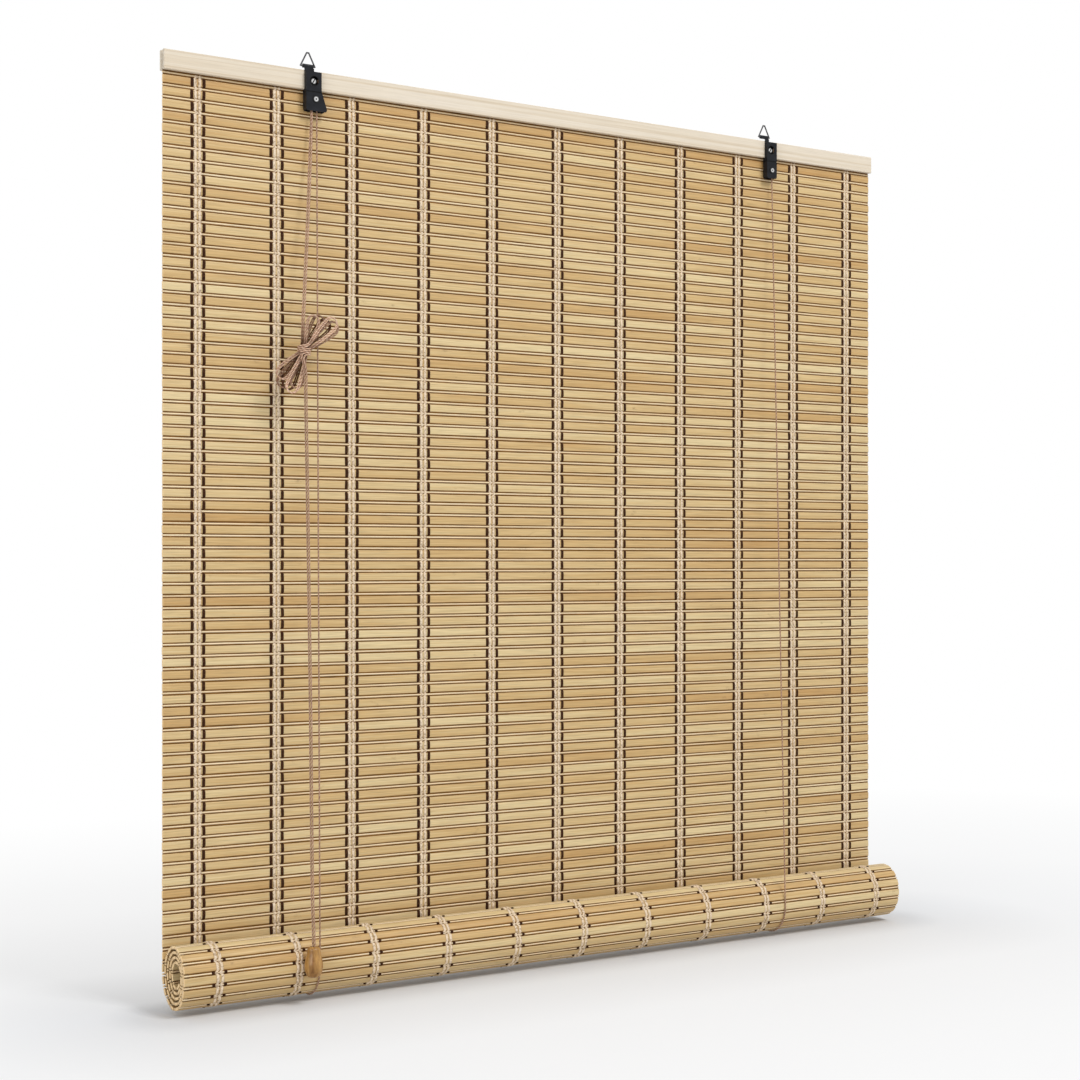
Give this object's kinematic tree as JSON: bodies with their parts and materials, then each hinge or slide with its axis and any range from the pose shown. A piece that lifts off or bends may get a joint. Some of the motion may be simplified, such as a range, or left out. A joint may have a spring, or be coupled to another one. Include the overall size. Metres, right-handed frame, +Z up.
{
  "type": "bamboo roll-up blind",
  "caption": "Woven bamboo roll-up blind, partly rolled up, with a wooden headrail, cord lock, guide bracket, hanging rings, lift cords, tied pull cord and wooden knob.",
  "frame": {"origin": "middle of the headrail's rear face", "axes": "+X to the right seen from the front, +Y out of the headrail's rear face towards the wall, +Z up"},
  "size_m": [0.8, 0.0695, 0.8251],
  "materials": {
    "pale_pine": "planed, unvarnished",
    "bamboo": "split bamboo, oiled, mixed straw and tan",
    "cream_thread": "twisted cotton",
    "brown_thread": "twisted cotton",
    "dark_sheet": "dark grey, satin",
    "dark_wire": "dark grey, satin",
    "bright_steel": "bright zinc",
    "nylon": "moulded nylon",
    "cord": "braided cotton",
    "turned_wood": "varnished, glossy"
  },
  "bodies": {
    "blind": {"front_lath": "pale_pine", "rear_lath": "pale_pine", "lath_brads": "bright_steel", "hanging_mat": "bamboo", "mat_roll": "bamboo", "cream_warps": "cream_thread", "dark_warps": "brown_thread", "lock_strap": "dark_sheet", "lock_housing": "dark_sheet", "lock_rivet": "bright_steel", "lock_pawl_pin": "bright_steel", "lock_screw": "bright_steel", "guide_strap": "dark_sheet", "guide_housing": "dark_sheet", "guide_rivet": "bright_steel", "guide_screw": "bright_steel", "left_lift_cord": "cord", "right_lift_cord": "cord", "pull_cord": "cord", "cord_hank": "cord", "pull_knob": "turned_wood", "cord_knot": "cord"},
    "left_ring": {"left_ring": "dark_wire"},
    "right_ring": {"right_ring": "dark_wire"},
    "lock_roller": {"lock_roller": "nylon"},
    "guide_roller": {"guide_roller": "nylon"},
    "lock_pawl": {"lock_pawl": "nylon"}
  },
  "joints": [
    {"name": "left_ring_swing", "type": "hinge", "parent": "blind", "child": "left_ring", "pos_m": [-0.26605, -0.009, 0.0123], "axis": [1, 0, 0], "range_deg": [-90, 90]},
    {"name": "right_ring_swing", "type": "hinge", "parent": "blind", "child": "right_ring", "pos_m": [0.2526, -0.009, 0.0123], "axis": [1, 0, 0], "range_deg": [-90, 90]},
    {"name": "lock_roller_spin", "type": "hinge", "parent": "blind", "child": "lock_roller", "pos_m": [-0.2604, -0.01075, -0.017], "axis": [0, 1, 0], "continuous": true},
    {"name": "guide_roller_spin", "type": "hinge", "parent": "blind", "child": "guide_roller", "pos_m": [0.2595, -0.01075, -0.0218], "axis": [0, 1, 0], "continuous": true},
    {"name": "lock_pawl_swing", "type": "hinge", "parent": "blind", "child": "lock_pawl", "pos_m": [-0.2664, -0.01075, -0.0125], "axis": [0, 1, 0], "range_deg": [0, 28]}
  ],
  "couplings": [
    {"joint": "guide_roller_spin", "follows": "lock_roller_spin", "ratio": 1}
  ]
}
